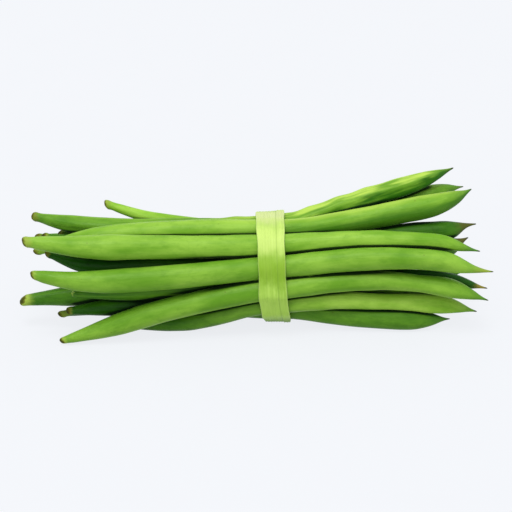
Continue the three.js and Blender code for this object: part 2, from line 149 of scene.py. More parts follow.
# What each pod has of its own. The rest is as in PLAIN.
PODS = {
    "bean_01": dict(
        slot="bean_bright", tone_and_shade=(-0.15, -0.15), seam=60, twist=0, sun_and_shade=0.75,
        knob=0.12, nip=0.1, cut=240, band=1.6, scar=0.9,
        beak="sea", dry=2.0,
    ),
    "bean_02": dict(
        slot="bean_bright", tone_and_shade=(-0.05, -0.15), seam=240, twist=-15,
        seeds=0.012, waver=0.045, bumps=0.04,
        knob=0.08, nip=0.1, cut=240, slant=18, band=2.6, rust=0.25, scar=0.8,
        beak="sea", dry=3.5, wear=0.6,
    ),
    "bean_03": dict(
        slot="bean_bright", tone_and_shade=(0.1, 0.0), seam=240, twist=10,
        seeds=0.016, bumps=0.02, bulges=((22, 12, 240, -0.22),),
        knob=0.02, nip=0.22, cut=250, slant=22, band=1.5, rust=0.1,
        beak="straw", dry=4.5, wear=0.75,
    ),
    "bean_04": dict(
        slot="bean_mid", tone_and_shade=(0.12, 0.0), seam=222, twist=0,
        seeds=0.016, waver=0.03, bumps=0.05, lifts=((34, 22, 0.7),),
        bulges=((12, 8, 60, 0.4), (12, 8, 222, 0.28)),
        knob=0.02, nip=0.18, cut=200, band=1.5, rust=0.0, scar=0.9,
        beak="sea", dry=1.6,
    ),
    "bean_05": dict(
        slot="bean_mid", tone_and_shade=(0.9, -0.45), seam=240, twist=-10,
        seeds=0.016, waver=0.04, fuller=0.05, bumps=0.06,
        bulges=((16, 12, 70, 0.4), (13, 9, 240, 0.36), (56, 9, 240, 0.14)),
        knob=0.04, nip=0.05, cut=200, band=2.0, rust=0.3, scar=0.9,
        beak="sea", dry=1.4,
    ),
    "bean_06": dict(
        slot="bean_deep", tone_and_shade=(1.3, 0.6), seam=70, twist=10,
        seeds=0.012, bulges=((14, 8, 60, 0.1),),
        knob=0.06, nip=0.05, cut=160, band=1.0, rust=0.8, scar=0.5,
        beak="sea", dry=1.6,
    ),
    "bean_07": dict(
        slot="bean_mid", tone_and_shade=(0.35, 0.05), seam=60, twist=30, sun_and_shade=0.95,
        seeds=0.05, ridges=0.055, waver=0.04, fuller=0.1, bumps=0.16,
        knob=0.1, cut=300, slant=8, band=2.0, rust=0.8, scar=0.9,
        dry=2.6, wear=0.25,
    ),
    "bean_08": dict(
        slot="bean_bright", tone_and_shade=(-0.45, 0.25), seam=0, twist=-20,
        knob=0.12, cut=250, band=1.8, rust=0.35, scar=0.5,
        dry=1.6,
    ),
    "bean_09": dict(
        slot="bean_deep", tone_and_shade=(0.9, 1.05), seam=60, twist=15,
        seeds=0.03, bulges=((5.5, 4, 240, 0.6),),
        knob=0.14, cut=150, band=1.8, rust=0.45,
        dry=5.0, wear=0.85,
    ),
    "bean_10": dict(
        slot="bean_deep", tone_and_shade=(0.9, 0.85), seam=240, twist=-15,
        bulges=((3.5, 2.5, 60, 0.9),),
        knob=0.18, cut=90, band=1.6, rust=1.0,
        dry=1.5, wear=0.5,
    ),
    "bean_11": dict(
        slot="bean_deep", tone_and_shade=(1.5, 0.85), seam=60, twist=10,
        knob=0.12, cut=240, band=1.2,
        dry=4.0, wear=0.9,
    ),
    "bean_12": dict(
        slot="bean_deep", tone_and_shade=(0.85, 1.7), seam=200, twist=-15,
        knob=0.05, nip=0.1, cut=120, band=0.05, rust=0.0, scar=0.0,
        beak="tan", dry=3.0, wear=0.9,
    ),
    "bean_13": dict(
        slot="bean_mid", tone_and_shade=(0.95, 1.0), seam=100, twist=15,
        seeds=0.012, bulges=((128, 9, 240, 0.35),),
        knob=0.03, nip=0.04, cut=110, slant=36, band=3.2, rust=0.1, scar=0.5,
        dry=2.0,
    ),
    "bean_14": dict(
        slot="bean_mid", tone_and_shade=(0.8, 0.8), seam=300, twist=10,
        knob=0.16, cut=270, band=1.4, rust=0.8,
        dry=2.0, wear=0.5,
    ),
    "bean_15": dict(
        slot="bean_deep", tone_and_shade=(0.75, 0.6), seam=20, twist=-10,
        knob=0.08, nip=0.05, cut=60, band=1.8, rust=0.5, scar=0.9,
        dry=2.0,
    ),
    "bean_16": dict(
        slot="bean_mid", tone_and_shade=(0.4, 0.3), seam=30, twist=15,
        seeds=0.016,
        knob=0.1, cut=130, band=1.6,
        beak="tan", dry=2.5, wear=0.5,
    ),
    "bean_17": dict(
        slot="bean_bright", tone_and_shade=(0.3, 0.2), seam=60, twist=-20,
        knob=0.05, nip=0.08, cut=30, band=1.8, rust=0.2, scar=0.9,
        beak="sea", dry=2.0,
    ),
    "bean_18": dict(
        slot="bean_mid", tone_and_shade=(0.4, 0.4), seam=20, twist=10,
        seeds=0.016,
        knob=0.06, nip=0.08, cut=330, band=1.6, rust=0.4, scar=0.9,
        dry=2.2, wear=0.5,
    ),
    "bean_19": dict(
        slot="bean_deep", tone_and_shade=(0.9, 0.8), seam=120, twist=-15,
        knob=0.16, cut=220, band=3.0, rust=0.4,
        beak="tan", dry=2.5, wear=0.6,
    ),
}


def look_of(node):
    """Everything that sets the looks of a pod."""
    return PLAIN | PODS[node]


# ---------------------------------------------------------------- measuring


def solid(name):
    """The triangles of a CAD node."""
    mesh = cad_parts[name].data
    mesh.calc_loop_triangles()
    spots = np.array([vertex.co for vertex in mesh.vertices]) / MM
    return spots[np.array([triangle.vertices for triangle in mesh.loop_triangles])]


def unit(vectors):
    """Vectors of length 1 in the same directions."""
    return vectors / np.linalg.norm(vectors, axis=-1, keepdims=True)


def across(normal):
    """Two unit directions at right angles to a direction and to each other."""
    first = unit(np.cross(normal, (0.0, 0.0, 1.0)))
    return first, np.cross(normal, first)


def cut(shape, point, normal):
    """Area and middle of the section where a plane cuts a closed solid."""
    away = (shape - point) @ normal
    above = away > 0
    count = above.sum(1)
    crossed = (count == 1) | (count == 2)
    shape, away, above, count = shape[crossed], away[crossed], above[crossed], count[crossed]
    alone = np.where(count == 1, above.argmax(1), (~above).argmax(1))
    rows = np.arange(len(shape))
    corner = [shape[rows, (alone + turn) % 3] for turn in range(3)]
    height = [away[rows, (alone + turn) % 3] for turn in range(3)]
    start = corner[0] + (corner[1] - corner[0]) * (height[0] / (height[0] - height[1]))[:, None]
    end = corner[0] + (corner[2] - corner[0]) * (height[0] / (height[0] - height[2]))[:, None]
    turned = (count == 1)[:, None]
    start, end = np.where(turned, end, start) - point, np.where(turned, start, end) - point
    u, v = across(normal)
    cross = (start @ u) * (end @ v) - (start @ v) * (end @ u)
    area = cross.sum() / 2
    shift = [((start + end) @ way * cross).sum() / (6 * area) for way in (u, v)]
    return abs(area), point + shift[0] * u + shift[1] * v


def bell_weights(reach, blur):
    """Weights of a blur over the neighbours out to a reach on either side, 1 in all."""
    weights = np.exp(-0.5 * (np.arange(-reach, reach + 1) / blur) ** 2)
    return weights / weights.sum()


def even_out(values, step, blur):
    """Blurs values measured at even steps along a line, and keeps both ends where they are."""
    reach = int(math.ceil(3 * blur / step))
    weights = bell_weights(reach, blur / step)
    before = 2 * values[0] - values[1:reach + 1][::-1]
    after = 2 * values[-1] - values[-reach - 1:-1][::-1]
    long = np.concatenate([before, values, after])
    return np.stack([np.convolve(column, weights, "valid") for column in long.T], 1)


def lengths_along(points):
    """The distance along a line at each of its points."""
    return np.concatenate([[0.0], np.cumsum(np.linalg.norm(np.diff(points, axis=0), axis=1))])


def at(places, known, values):
    """Values measured at known places along a line, read at other places."""
    return np.stack([np.interp(places, known, column) for column in values.T], 1)


def end_middle(shape, way):
    """The middle of the flat end that a solid has furthest in a direction."""
    corners = np.unique(np.round(shape.reshape(-1, 3), 3), axis=0)
    height = corners @ way
    flat = corners[height > height.max() - CAD_END_DEPTH]
    return (flat.min(0) + flat.max(0)) / 2


def rough_line(shape):
    """A rough middle line of a CAD pod, with the middles of its two flat ends."""
    low, high = shape.reshape(-1, 3).min(0), shape.reshape(-1, 3).max(0)
    along_x = np.array((1.0, 0.0, 0.0))
    stations = np.linspace(low[0] + ROUGH_FROM_LOW, high[0] - ROUGH_FROM_HIGH, ROUGH_CUTS)
    line = np.array([cut(shape, np.array((x, 0, 0)), along_x)[1] for x in stations])
    start = end_middle(shape, unit(line[0] - line[1]))
    end = end_middle(shape, unit(line[-1] - line[-2]))
    return np.vstack([start, line, end])


def trace(name):
    """The middle line of a CAD pod from its cut to its tip, and its half girth, at even steps."""
    shape = solid(name)
    line = rough_line(shape)
    places = lengths_along(line)
    count = int(round(places[-1] / TRACE_STEP))
    even = np.linspace(0, places[-1], count + 1)
    step = even[1]
    line = at(even, places, line)
    ways = unit(np.gradient(line, axis=0))
    areas = np.zeros(count + 1)
    for index in range(1, count):
        areas[index], line[index] = cut(shape, line[index], ways[index])
    girth = np.sqrt(areas / CAD_SECTION)
    girth[0] = girth[1]
    girth[-1] = max(2 * girth[-2] - girth[-3], LEAST_GIRTH)
    line = even_out(line, step, LINE_BLUR)
    girth = even_out(girth[:, None], step, GIRTH_BLUR)[:, 0]
    return line, girth, even


# ---------------------------------------------------------------- lofting a pod


def smooth(value, low, high):
    """0 below low, 1 above high, and an even curve between."""
    share = np.clip((value - low) / (high - low), 0, 1)
    return share * share * (3 - 2 * share)


def bell(value, width):
    """1 at 0, falling off on both sides."""
    return np.exp(-(value / width) ** 2)


def ring_places(length):
    """Where the rings stand along a pod, from its cut to its tip."""
    stalk = np.arange(0, STALK_LENGTH, END_STEP)
    body = np.arange(STALK_LENGTH, length - BEAK_LENGTH, BODY_STEP)
    beak = np.linspace(length - BEAK_LENGTH, length, int(BEAK_LENGTH / END_STEP))
    return np.concatenate([stalk, body, beak])


def waves(places, random, longest, count):
    """A slow, irregular rise and fall along a pod, between about -1 and 1."""
    total = np.zeros_like(places)
    for order in range(1, count + 1):
        size, shift = random.uniform(0.5, 1.0), random.uniform(0, 2 * math.pi)
        total += size / order * np.sin(2 * math.pi * places * order / longest + shift)
    return total / WAVES_PEAK


def seed_swell(places, length, random):
    """How far the seeds push the flanks out along a pod, from 0 to about 1."""
    swell = np.zeros_like(places)
    seed = random.uniform(*FIRST_SEED)
    while seed < length - LAST_SEED:
        size, width = random.uniform(*SEED_SIZES), random.uniform(*SEED_LENGTHS)
        swell += size * bell(places - seed, width)
        seed += SEED_SPACING * random.uniform(*SEED_UNEVEN)
    return swell


def pod_line(places, line, known, look, random):
    """The middle line of a pod at the places of its rings, and the ways that it runs there."""
    ways = unit(at(places, known, even_out(np.gradient(line, axis=0), known[1], LINE_BLUR)))
    middle = at(places, known, line)
    strays = np.stack([waves(places, random, longest, 3) for longest in WANDER_LENGTHS], 1)
    middle[:, 1:] += WANDER * strays * smooth(places, *WANDER_FROM)[:, None]
    for place, width, rise in look["lifts"]:
        middle[:, 2] += rise * bell(known[-1] - places - place, width)
    return middle, ways


def pod_girth(places, girth, known, look, random):
    """The half girth of a pod at the places of its rings, and how far its seeds swell it there."""
    length = known[-1]
    from_tip = length - places
    share = places / length
    half = np.interp(np.clip(places, RIM_LENGTH, length), known, girth)

    neck = NECK_DEPTH * bell(places - NECK_AT, NECK_WIDTH)
    half *= 1 + look["knob"] * (bell(places - KNOB_AT, KNOB_WIDTH) - neck)
    half *= 1 - look["nip"] * (1 - smooth(places, 0, NIP_LENGTH))

    uneven = waves(places, random, GIRTH_WAVE, 4)
    half *= 1 + look["waver"] * uneven * smooth(places, *WAVER_FROM)
    half *= 1 + look["fuller"] * smooth(share, *FULLER_FROM)
    swell = seed_swell(places, length, random)
    half *= 1 + look["bumps"] * swell * smooth(share, *BUMPS_FROM)

    half *= 1 - BEAK_TAPER * (1 - smooth(from_tip, *BEAK_TAPER_OVER))
    rounding = np.clip(1 - places / RIM_LENGTH, 0, 1)
    half *= 1 - RIM_DEPTH * (1 - np.sqrt(1 - rounding ** 2))
    closing = np.clip(1 - from_tip / POINT_LENGTH, 0, 1)
    half *= np.sqrt(1 - POINT_CLOSING * closing ** 2)
    return half, swell


def from_seam(turn):
    """A turn around a pod, counted from its seam to either side."""
    return (turn + math.pi) % (2 * math.pi) - math.pi


def side_way(degrees):
    """The direction of a side of the bundle."""
    return np.array((0.0, math.cos(math.radians(degrees)), math.sin(math.radians(degrees))))


def pod_section(places, length, turn, roll, swell, look):
    """The shape of each ring: how far its corners reach out, as shares of the half girth."""
    body = (smooth(places, *BODY_FROM) * smooth(length - places, *BODY_TO))[:, None]
    ridge_turn = RIDGES_ROUND * turn + RIDGE_SWAY * np.sin(places / RIDGE_DRIFT)[:, None]
    shape = 1 + body * (
        OVAL * np.cos(2 * turn)
        + SEAM_RIDGE * bell(from_seam(turn), RIDGE_WIDTH)
        - SEAM_GROOVE * bell(from_seam(turn), GROOVE_WIDTH)
        - BACK_GROOVE * bell(turn - math.pi, BACK_WIDTH)
        + look["seeds"] * swell[:, None] * np.abs(np.sin(turn)) ** FLANK_FOCUS
        + look["ridges"] * np.cos(ridge_turn)
    )
    for place, width, side, size in look["bulges"]:
        facing = np.clip(np.cos(turn + roll[:, None] - math.radians(side)), 0, 1)
        shape += size * bell(length - places - place, width)[:, None] * facing
    return shape


def build_pod(name, look, order):
    """Lofts one pod around the middle line of its CAD solid."""
    random = np.random.default_rng(100 + order)
    line, girth, known = trace(name)
    length = known[-1]
    places = ring_places(length)
    middle, ways = pod_line(places, line, known, look, random)
    half, swell = pod_girth(places, girth, known, look, random)

    # The corners run the way round that makes the faces between the rings look outward.
    turn = 2 * math.pi * (1 - np.arange(SIDES) / SIDES)
    roll = np.radians(look["seam"] + look["twist"] * (1 - places / length))
    shape = pod_section(places, length, turn, roll, swell, look)
    # Three broad waves and seven small ones go round the edge of the cut.
    ragged = 0.07 * np.sin(3 * turn + random.uniform(0, 6)) + 0.05 * np.sin(7 * turn + order)
    reach = half[:, None] * (shape + ragged * bell(places, RAGGED_LENGTH)[:, None])

    towards = np.stack([np.zeros_like(roll), np.cos(roll), np.sin(roll)], 1)
    towards = unit(towards - (towards * ways).sum(1)[:, None] * ways)
    beside = np.cross(ways, towards)
    outward = (
        (reach * np.cos(turn))[:, :, None] * towards[:, None, :]
        + (reach * np.sin(turn))[:, :, None] * beside[:, None, :]
    )

    # The cut is on the slant: the side that it faces starts further in.
    slant = math.tan(math.radians(look["slant"]))
    further = slant * (outward @ side_way(look["cut"]) + SLANT_SHIFT * half[:, None])
    further *= bell(places, SLANT_LENGTH)[:, None]
    spots = middle[:, None, :] + outward + further[:, :, None] * ways[:, None, :]

    flow = np.stack(np.broadcast_arrays(
        places[:, None] + PATTERN_SHIFT * order,
        half[:, None] * np.cos(turn),
        half[:, None] * np.sin(turn),
    ), 2)
    marks = np.stack(np.broadcast_arrays(
        places[:, None],
        (length - places)[:, None],
        from_seam(turn)[None, :],
    ), 2)
    return {"rings": spots, "flow": flow, "marks": marks, "outward": outward, "ways": ways}


# ---------------------------------------------------------------- meshes


def closed_loft(rings):
    """Vertices and faces of rings of corners joined up, with a fan over each end."""
    count, sides = rings.shape[:2]
    vertices = np.concatenate([rings.reshape(-1, 3), [rings[0].mean(0)], [rings[-1].mean(0)]])
    first, last = count * sides, count * sides + 1
    faces = []
    for ring in range(count - 1):
        here, there = ring * sides, (ring + 1) * sides
        for corner in range(sides):
            after = (corner + 1) % sides
            faces.append((here + corner, there + corner, there + after, here + after))
    end = (count - 1) * sides
    for corner in range(sides):
        after = (corner + 1) % sides
        faces.append((first, corner, after))
        faces.append((last, end + after, end + corner))
    return vertices, faces


def with_ends(values):
    """Values at the corners of the rings, with those of the two end points after them."""
    ends = [values[0].mean(0), values[-1].mean(0)]
    return np.concatenate([values.reshape(-1, values.shape[2]), ends])


def make_piece(name, rings, attributes, material):
    """A smooth piece from rings of corners."""
    vertices, faces = closed_loft(rings)
    vertices[:, 2] = np.maximum(vertices[:, 2], LOWEST)
    mesh = bpy.data.meshes.new(name)
    mesh.from_pydata((vertices * MM).tolist(), [], faces)
    mesh.validate()
    for title, values in attributes.items():
        layer = mesh.attributes.new(title, "FLOAT_VECTOR", "POINT")
        layer.data.foreach_set("vector", with_ends(values).astype(np.float32).ravel())
    mesh.shade_smooth()
    mesh.materials.append(material)
    piece = bpy.data.objects.new(name, mesh)
    bpy.context.scene.collection.objects.link(piece)
    return piece


# ---------------------------------------------------------------- how the pods crowd each other

# The share of the view that neighbours take sets the painted shade in the gaps between pods.
VIEW_RAYS = 24  # directions in which a corner looks out,
VIEW_REACH = 8.0  # how far,
VIEW_START = 0.2  # and how far off the skin it starts
VIEW_RINGS = 4  # the view is measured at every so many rings, and spread between
VIEW_COARSE = 2  # and it is blocked by pods with every so many of their rings and corners


def view_ways():
    """Directions spread over the half sphere around +Z, more of them close to +Z."""
    order = np.arange(VIEW_RAYS) + 0.5
    rise = np.sqrt(1 - order / VIEW_RAYS)
    around = order * math.pi * (3 - math.sqrt(5))
    flat = np.sqrt(1 - rise ** 2)
    return np.stack([flat * np.cos(around), flat * np.sin(around), rise], 1)


def solids_tree(lofts):
    """A tree for casting rays at several lofts at once."""
    vertices, faces = [], []
    for rings in lofts:
        start = len(vertices)
        spots, quads = closed_loft(rings)
        vertices.extend(spots.tolist())
        faces.extend([tuple(start + corner for corner in quad) for quad in quads])
    return BVHTree.FromPolygons(vertices, faces)


def crowding(pod, tree):
    """How much of the view out of each corner of a pod is taken by what lies close to it."""
    count = len(pod["rings"])
    rows = np.unique(np.append(np.arange(0, count, VIEW_RINGS), count - 1))
    out = unit(pod["outward"][rows])
    along = np.broadcast_to(pod["ways"][rows][:, None, :], out.shape)
    side = np.cross(out, along)
    ways = view_ways()
    rays = (
        ways[:, 0, None] * along[:, :, None, :]
        + ways[:, 1, None] * side[:, :, None, :]
        + ways[:, 2, None] * out[:, :, None, :]
    )
    starts = (pod["rings"][rows] + VIEW_START * out).reshape(-1, 3).tolist()
    rays = rays.reshape(len(starts), VIEW_RAYS, 3).tolist()
    taken = np.zeros(len(starts))
    for index, start in enumerate(starts):
        for ray in rays[index]:
            far = tree.ray_cast(start, ray, VIEW_REACH)[3]
            if far is not None:
                taken[index] += 1 - far / VIEW_REACH
    return at(np.arange(count), rows, taken.reshape(len(rows), SIDES) / VIEW_RAYS)


# ---------------------------------------------------------------- the leaf strip

STRIP_STEPS = 360  # lengths in one turn of the strip
STRIP_ACROSS = 40  # widths between its two edges
STRIP_LANES = 5  # lanes across it in which it is drawn taut
LANE_REACH = 0.9  # half width of the pods' part that a lane feels
STRIP_GAP = 0.22  # room between it and the pods
STRIP_THICKNESS = 0.80
STRIP_START = 310  # side on which it starts
STRIP_LAP = 45  # degrees that its end laps over its start
LAP_CLIMB = 22  # degrees over which the end climbs onto the start
END_TAPER = 14  # lengths over which its loose end narrows
FOLD_AT = 0.20  # place of the long fold, as a share of the width from the middle
CREASE_AT = 0.02  # and of a faint crease
RIB_COUNT = 26  # fine ribs across the width
RIB_FACTORS = (0.37, 0.61, 1.0)  # ribs of each size, as shares of that number
STRIP_SHIFT = -0.4  # how far along X it lies from the CAD's
BUNDLE_HALF = 18  # about half of the tied bundle's width

LEAN_DEPTH = 1.5  # depth of the CAD strip's top and foot, which are compared to find its lean
LEAN_KEPT = 0.6  # share of that lean that the strip has,
FOOT_LEAN, FOOT_FROM = 0.09, 2  # and its further lean from this far below the middle
LEAST_FACING = 0.2  # least cosine at which one direction limits the reach in another
OWN_LANE = 0.55  # share of a lane's reach that is its own, the rest being the furthest lane's
REACH_SPAN, REACH_BLUR = 4, 1.6  # how far round the reach is evened out, in lengths

HALF_WIDTH = 0.485  # half of the strip's width, as a share of the CAD's
EDGE_WAVE, EDGE_RIPPLE = 0.16, 0.09  # how far that swings in long and in short waves,
WAVE_TURN, RIPPLE_TURN = 0.05, 0.17  # and their radians in a length
LOOSE_NARROWER, UNDER_NARROWER = 0.25, 0.06  # shares taken off at its loose end and underneath
SWAY, SWAY_TURN = 0.12, 0.031  # how far it swings along X, and the radians in a length
RIB_SWELL, SWELL_TURN = 0.3, 0.09  # how its relief grows and fades, and the radians in a length
RIB_HEIGHT = 0.030
FOLD_DEPTH, FOLD_WIDTH = 0.08, 0.020
CREASE_DEPTH, CREASE_WIDTH = 0.05, 0.012
STEP_HEIGHT = 0.14  # how much higher the strip is beyond the fold
STEP_FROM, STEP_TO = FOLD_AT + 0.01, FOLD_AT + 0.04
THINNER_EDGE, EDGE_FROM = 0.22, 0.44  # how much thinner an edge is, and where that starts


def strip_frame():
    """Middle, width and lean of the CAD's strip."""
    corners = solid("leaf_tie").reshape(-1, 3)
    low, high = corners.min(0), corners.max(0)
    middle = (low + high) / 2
    top = corners[corners[:, 2] > high[2] - LEAN_DEPTH][:, 0]
    foot = corners[corners[:, 2] < low[2] + LEAN_DEPTH][:, 0]
    width = top.max() - top.min()
    lean = (foot.mean() - top.mean()) / (high[2] - low[2])
    return middle, width, lean


def taut_reach(cloud, middle, angles):
    """How far from the middle a band drawn tight around a cloud of points lies, by angle."""
    ways = np.stack([np.cos(angles), np.sin(angles)], 1)
    support = ((cloud - middle) @ ways.T).max(0)
    facing = np.cos(angles[:, None] - angles[None, :])
    limits = support[None, :] / np.maximum(facing, LEAST_FACING)
    return np.where(facing > LEAST_FACING, limits, np.inf).min(1)


def strip_reach(pods, middle, width, lean):
    """How far out the strip lies around the pods, in lanes across it and by angle."""
    corners = np.concatenate([pod["rings"].reshape(-1, 3) for pod in pods.values()])
    angles = np.radians(np.arange(STRIP_STEPS) * 360 / STRIP_STEPS)
    lanes = np.linspace(-0.5, 0.5, STRIP_LANES)
    reach = []
    for lane in lanes:
        place = middle[0] + lane * width - lean * (corners[:, 2] - middle[2])
        near = corners[np.abs(corners[:, 0] - place) < LANE_REACH]
        reach.append(taut_reach(near[:, 1:], middle[1:], angles))
    reach = OWN_LANE * np.array(reach) + (1 - OWN_LANE) * np.max(reach, 0)
    wrapped = np.concatenate([reach[:, -REACH_SPAN:], reach, reach[:, :REACH_SPAN]], 1)
    weights = bell_weights(REACH_SPAN, REACH_BLUR)
    return lanes, np.array([np.convolve(row, weights, "valid") for row in wrapped])


def strip_profile(share, phases):
    """Height of the strip's outer side across its width: ribs, a fold, a crease, thin edges."""
    ribs = sum(
        np.sin(2 * math.pi * share * RIB_COUNT * factor + phase) / factor
        for factor, phase in zip(RIB_FACTORS, phases)
    )
    fold = FOLD_DEPTH * bell(share - FOLD_AT, FOLD_WIDTH)
    crease = CREASE_DEPTH * bell(share - CREASE_AT, CREASE_WIDTH)
    raised = STEP_HEIGHT * smooth(share, STEP_FROM, STEP_TO)
    edges = THINNER_EDGE * smooth(np.abs(share), EDGE_FROM, 0.5)
    return RIB_HEIGHT * ribs - fold - crease + raised - edges


def build_strip(pods):
    """The rings of the strip, once round the pods and lapped over its start."""
    middle, width, lean = strip_frame()
    lanes, reach = strip_reach(pods, middle, width, lean)
    random = np.random.default_rng(7)
    *rib_phases, edge_phase, sway_phase = random.uniform(0, 2 * math.pi, 5)
    share = np.linspace(-0.5, 0.5, STRIP_ACROSS + 1)
    profile = strip_profile(share, rib_phases)
    shares = np.concatenate([share, share[::-1]])
    outer_side = np.concatenate([np.ones_like(share), np.zeros_like(share)])
    total = STRIP_STEPS + int(STRIP_LAP * STRIP_STEPS / 360)

    rings, flow, marks = [], [], []
    for index in range(total + 1):
        turned = index * 360 / STRIP_STEPS
        degrees = STRIP_START + turned
        angle = math.radians(degrees)
        row = reach[:, round(degrees * STRIP_STEPS / 360) % STRIP_STEPS]
        climb = smooth(np.array(turned), 360 - LAP_CLIMB, 360)
        inner = np.interp(share, lanes, row) + STRIP_GAP
        inner += climb * (STRIP_THICKNESS + 2 * STRIP_GAP)
        relief = profile * (1 + RIB_SWELL * math.sin(index * SWELL_TURN))
        outer = inner + STRIP_THICKNESS + relief

        half = HALF_WIDTH * width + EDGE_WAVE * np.sin(index * WAVE_TURN + edge_phase)
        half += EDGE_RIPPLE * np.sin(index * RIPPLE_TURN)
        half *= 1 - LOOSE_NARROWER * max(0, (index - total + END_TAPER) / END_TAPER) ** 2
        half *= 1 - UNDER_NARROWER * smooth(-math.sin(angle), 0, 1)
        sway = SWAY * np.sin(index * SWAY_TURN + sway_phase) + STRIP_SHIFT

        reaches = np.concatenate([outer, inner[::-1]])
        depth = -reaches * math.sin(angle)
        lean_shift = LEAN_KEPT * lean * depth + FOOT_LEAN * np.clip(depth - FOOT_FROM, 0, None)
        rings.append(middle + np.stack([
            shares * 2 * half + sway + lean_shift,
            reaches * math.cos(angle),
            reaches * math.sin(angle),
        ], 1))
        run = turned / 360 * 2 * math.pi * BUNDLE_HALF
        flow.append(np.stack([shares * width, np.full_like(shares, run), outer_side], 1))
        marks.append(np.stack([shares, np.full_like(shares, degrees - 360), outer_side], 1))
    return np.array(rings), np.array(flow), np.array(marks)


# ---------------------------------------------------------------- materials

# Screen colours from 0 to 255. Where there are two, the first is of a bright pod or a yellow
# stalk, and the second of a dark pod or a rusty stalk. A dark pod's green is partly its own and
# partly painted shade for pods deep in the bundle.
SKIN = {
    "pale": ((154, 198, 70), (84, 138, 24)),
    "body": ((94, 148, 24), (42, 96, 10)),
    "deep": ((76, 130, 18), (22, 60, 6)),
    # gap is painted shade for the hollows where pods hide each other.
    "gap": (4, 36, 6),
    # sun is a painted lit side and shade a painted shaded side of a pod.
    "sun": (180, 212, 84),
    "shade": (40, 100, 8),
    "stalk": ((162, 188, 72), (108, 118, 32)),
    "brown": (92, 90, 14),
    "dark": (42, 50, 4),
    "tip": (50, 104, 28),
    "sheen": (214, 236, 190),
}
BEAKS = {
    "tan": (150, 136, 54),
    "straw": (150, 166, 60),
    "bark": (88, 82, 32),
    "sea": (58, 112, 44),
}
LEAF = {
    "green": (148, 192, 60),
    "yellow": (176, 214, 88),
    "fibre": (216, 236, 140),
    "broad": (140, 184, 56),
    "fold": (112, 150, 44),
    "edge": (214, 230, 150),
}
# Paler and greener stretches of the leaf strip: the sides where each starts and ends, its
# strength and its colour. Most are painted light: a pale painted highlight where the strip turns
# over the top, a bright painted highlight below it, painted light low on its front and painted
# shade on its underside. The deep green stretch across the middle is the leaf's own.
LEAF_ZONES_AND_LIGHT = (
    (62, 96, 0.75, (214, 222, 150)),
    (100, 137, 0.65, (212, 234, 128)),
    (137, 168, 0.80, (130, 172, 36)),
    (182, 222, 0.60, (184, 224, 92)),
    (230, 290, 0.95, (80, 132, 26)),
)
FLOOR_COLOUR = (245, 247, 251)
FLOOR_GLOW = 0.875  # share of the floor's paleness that the object can't shade
FLOOR_PAINT = 0.098  # how much light the floor gives back where it is looked at,
FLOOR_BOUNCE = 0.58  # and how much it throws back on the object


def linear(red, green, blue):
    """A screen colour from 0 to 255 as a colour of light."""
    shares = [channel / 255 for channel in (red, green, blue)]
    return tuple(
        share / 12.92 if share <= 0.04045 else ((share + 0.055) / 1.055) ** 2.4
        for share in shares
    ) + (1.0,)


def between_colours(first, second, share):
    """The colour of light a share of the way between two screen colours, or past either."""
    return linear(*(max(a + (b - a) * share, 0) for a, b in zip(first, second)))


class Nodes:
    """A short way to write a node tree."""

    def __init__(self, name):
        self.material = bpy.data.materials.new(name)
        self.material.use_nodes = True
        self.tree = self.material.node_tree
        self.tree.nodes.clear()

    def add(self, kind, **settings):
        node = self.tree.nodes.new("ShaderNode" + kind)
        for title, value in settings.items():
            setattr(node, title, value)
        return node

    def put(self, socket, value):
        if isinstance(value, bpy.types.NodeSocket):
            self.tree.links.new(value, socket)
        else:
            socket.default_value = value

    def filled(self, kind, **values):
        """A node with values put in the sockets of those names, with _ for a space."""
        node = self.add(kind)
        for title, value in values.items():
            self.put(node.inputs[title.replace("_", " ")], value)
        return node

    def attribute(self, title):
        return self.add("Attribute", attribute_name=title).outputs["Vector"]

    def split(self, vector):
        return self.filled("SeparateXYZ", Vector=vector).outputs

    def math(self, operation, first, second=0.0, third=0.0):
        node = self.add("Math", operation=operation)
        for socket, value in zip(node.inputs, (first, second, third)):
            self.put(socket, value)
        return node.outputs[0]

    def scaled(self, vector, scale):
        node = self.add("VectorMath", operation="MULTIPLY")
        self.put(node.inputs[0], vector)
        self.put(node.inputs[1], scale)
        return node.outputs[0]

    def noise(self, vector, scale, detail, roughness):
        """Noise with so many spots to a unit of length each way."""
        return self.filled(
            "TexNoise",
            Vector=self.scaled(vector, scale), Scale=1.0, Detail=detail, Roughness=roughness,
        ).outputs["Fac"]

    def between(self, value, low, high, to_low=0.0, to_high=1.0):
        """An even curve from to_low to to_high as a value goes from low to high."""
        node = self.add("MapRange", interpolation_type="SMOOTHSTEP")
        for socket, number in zip(node.inputs, (value, low, high, to_low, to_high)):
            self.put(socket, number)
        return node.outputs[0]

    def mixed(self, share, first, second):
        node = self.add("Mix", data_type="RGBA")
        self.put(node.inputs["Factor"], share)
        self.put(node.inputs[6], first)
        self.put(node.inputs[7], second)
        return node.outputs[2]

    def finish(self, shader):
        self.filled("OutputMaterial", Surface=shader.outputs[0])
        return self.material


